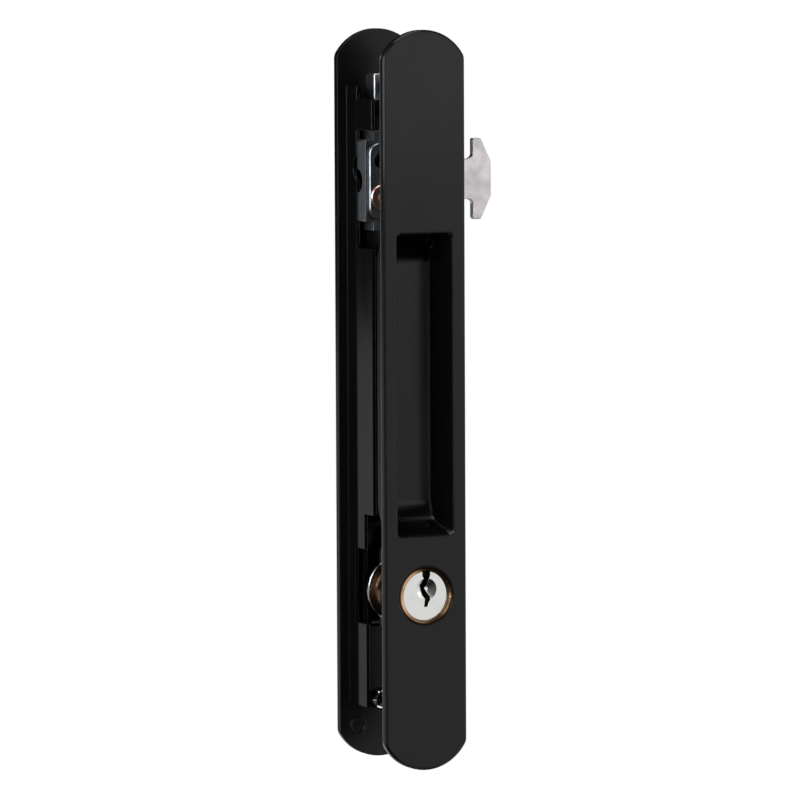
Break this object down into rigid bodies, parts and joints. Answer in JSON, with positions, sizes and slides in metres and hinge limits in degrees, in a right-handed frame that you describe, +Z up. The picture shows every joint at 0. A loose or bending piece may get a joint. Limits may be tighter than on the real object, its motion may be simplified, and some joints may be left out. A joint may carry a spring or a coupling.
{
  "type": "sliding door lock",
  "caption": "Flush sliding door lock with two long arched plates, finger recesses, a key cylinder and a double hook that slides.",
  "frame": {"origin": "on the centre line of the plates, half-way through the door and half-way between the two mounting screws", "axes": "+X across the plates towards the door's closing edge and the hook, +Y from the keyed outer side to the inner side, +Z up"},
  "size_m": [0.051, 0.0459, 0.25],
  "materials": {
    "black_paint": "semi-gloss black powder paint on die-cast zinc",
    "brass": "bare turned brass",
    "bright_plating": "bright chrome plating",
    "zinc_plating": "bluish zinc plating on pressed steel",
    "satin_nickel": "satin nickel plating on steel",
    "copper_plating": "copper-plated steel",
    "spring_steel": "bare spring steel",
    "black_screws": "black oxide on steel",
    "plated_screws": "zinc-plated steel"
  },
  "bodies": {
    "lock_frame": {"front_plate": "black_paint", "rear_plate": "black_paint", "cylinder_barrel": "brass", "cylinder_end_plate": "bright_plating", "cylinder_set_screw": "black_screws", "end_plate_screw_left": "plated_screws", "end_plate_screw_right": "plated_screws", "top_post": "black_screws", "bottom_post": "black_screws", "top_mounting_screw": "black_screws", "bottom_mounting_screw": "black_screws", "top_screw_collar": "zinc_plating", "bottom_screw_collar": "bright_plating", "bar_guide_top": "black_screws", "bar_guide_middle": "black_screws", "bar_guide_bottom": "black_screws", "friction_leaf": "spring_steel"},
    "key_plug": {"cylinder_plug": "brass", "plug_cap": "bright_plating", "cam": "zinc_plating", "cam_screw": "plated_screws", "wafer_1": "brass", "wafer_2": "brass", "wafer_3": "brass", "wafer_4": "brass", "wafer_5": "brass", "wafer_spring_1": "brass", "wafer_spring_2": "brass", "wafer_spring_3": "brass", "wafer_spring_4": "brass", "wafer_spring_5": "brass"},
    "hook_slide": {"slide_bar": "zinc_plating", "carriage_case": "zinc_plating", "carriage_cover": "zinc_plating", "hook_packer": "spring_steel", "hook": "satin_nickel", "hook_rivet": "copper_plating", "upper_link_stud": "plated_screws", "lower_link_stud": "plated_screws", "thumb_slide": "black_paint", "thumb_screw_upper": "plated_screws", "thumb_screw_lower": "plated_screws"}
  },
  "joints": [
    {"name": "key_turn", "type": "hinge", "parent": "lock_frame", "child": "key_plug", "pos_m": [0, 0, -0.0657], "axis": [0, 1, 0], "range_deg": [0, 90]},
    {"name": "hook_travel", "type": "slide", "parent": "lock_frame", "child": "hook_slide", "axis": [0, 0, 1], "range_m": [-0.0055, 0]}
  ],
  "couplings": [
    {"joint": "key_turn", "follows": "hook_travel", "rad_per_m": -285.6}
  ]
}
